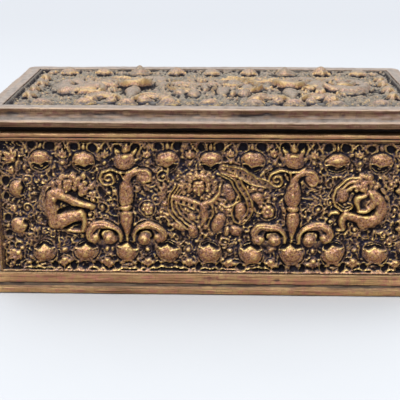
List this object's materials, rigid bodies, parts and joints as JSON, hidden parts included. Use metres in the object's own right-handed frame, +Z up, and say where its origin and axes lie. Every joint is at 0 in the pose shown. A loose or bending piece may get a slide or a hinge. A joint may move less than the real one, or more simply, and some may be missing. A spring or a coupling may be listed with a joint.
{
  "type": "vanity trinket box",
  "caption": "Rectangular cast bronze trinket box with relief walls, a hinged relief lid and a velvet-lined inside.",
  "frame": {"origin": "centre of the felt's flat underside, on the table plane", "axes": "+X along the box's length to the right, +Y to the hinged rear, +Z up"},
  "size_m": [0.1718, 0.0938, 0.0764],
  "materials": {
    "bronze_relief": "cast relief, dark patina in the recesses, rubbed copper-gold high spots",
    "bronze_moulding": "drawn moulding, rubbed brown-gold patina, dark in the grooves",
    "bronze_plain": "plain sheet, dull brown patina",
    "brass_hardware": "machined brass, lightly tarnished",
    "velvet": "short-pile burgundy velvet",
    "board": "paper-covered card board",
    "felt": "pressed wool felt"
  },
  "bodies": {
    "box": {"base_felt": "felt", "base_rail_front": "bronze_moulding", "base_rail_left": "bronze_moulding", "base_rail_rear": "bronze_moulding", "base_rail_right": "bronze_moulding", "base_screw_1": "brass_hardware", "base_screw_2": "brass_hardware", "base_screw_3": "brass_hardware", "base_screw_4": "brass_hardware", "bottom_plate": "bronze_plain", "floor_pad": "velvet", "hinge_leaf_body_left": "brass_hardware", "hinge_leaf_body_right": "brass_hardware", "hinge_pin_left": "brass_hardware", "hinge_pin_right": "brass_hardware", "liner_floor": "board", "liner_front": "velvet", "liner_left": "velvet", "liner_rear": "velvet", "liner_right": "velvet", "rim_rail_front": "bronze_moulding", "rim_rail_left": "bronze_moulding", "rim_rail_rear": "bronze_moulding", "rim_rail_right": "bronze_moulding", "rim_screw_left_1": "brass_hardware", "rim_screw_left_2": "brass_hardware", "rim_screw_right_1": "brass_hardware", "rim_screw_right_2": "brass_hardware", "wall_front": "bronze_relief", "wall_left": "bronze_relief", "wall_rear": "bronze_relief", "wall_right": "bronze_relief"},
    "lid": {"frame_screw_left_1": "brass_hardware", "frame_screw_left_2": "brass_hardware", "frame_screw_right_1": "brass_hardware", "frame_screw_right_2": "brass_hardware", "hinge_leaf_lid_left": "brass_hardware", "hinge_leaf_lid_right": "brass_hardware", "lid_board": "board", "lid_frame": "bronze_moulding", "lid_pad": "velvet", "lid_panel": "bronze_relief", "lid_screw_1": "brass_hardware", "lid_screw_2": "brass_hardware", "lid_screw_3": "brass_hardware", "lid_screw_4": "brass_hardware"}
  },
  "joints": [
    {"name": "lid_hinge", "type": "hinge", "parent": "box", "child": "lid", "pos_m": [0, 0.0435, 0.0656], "axis": [-1, 0, 0], "range_deg": [0, 100]}
  ]
}
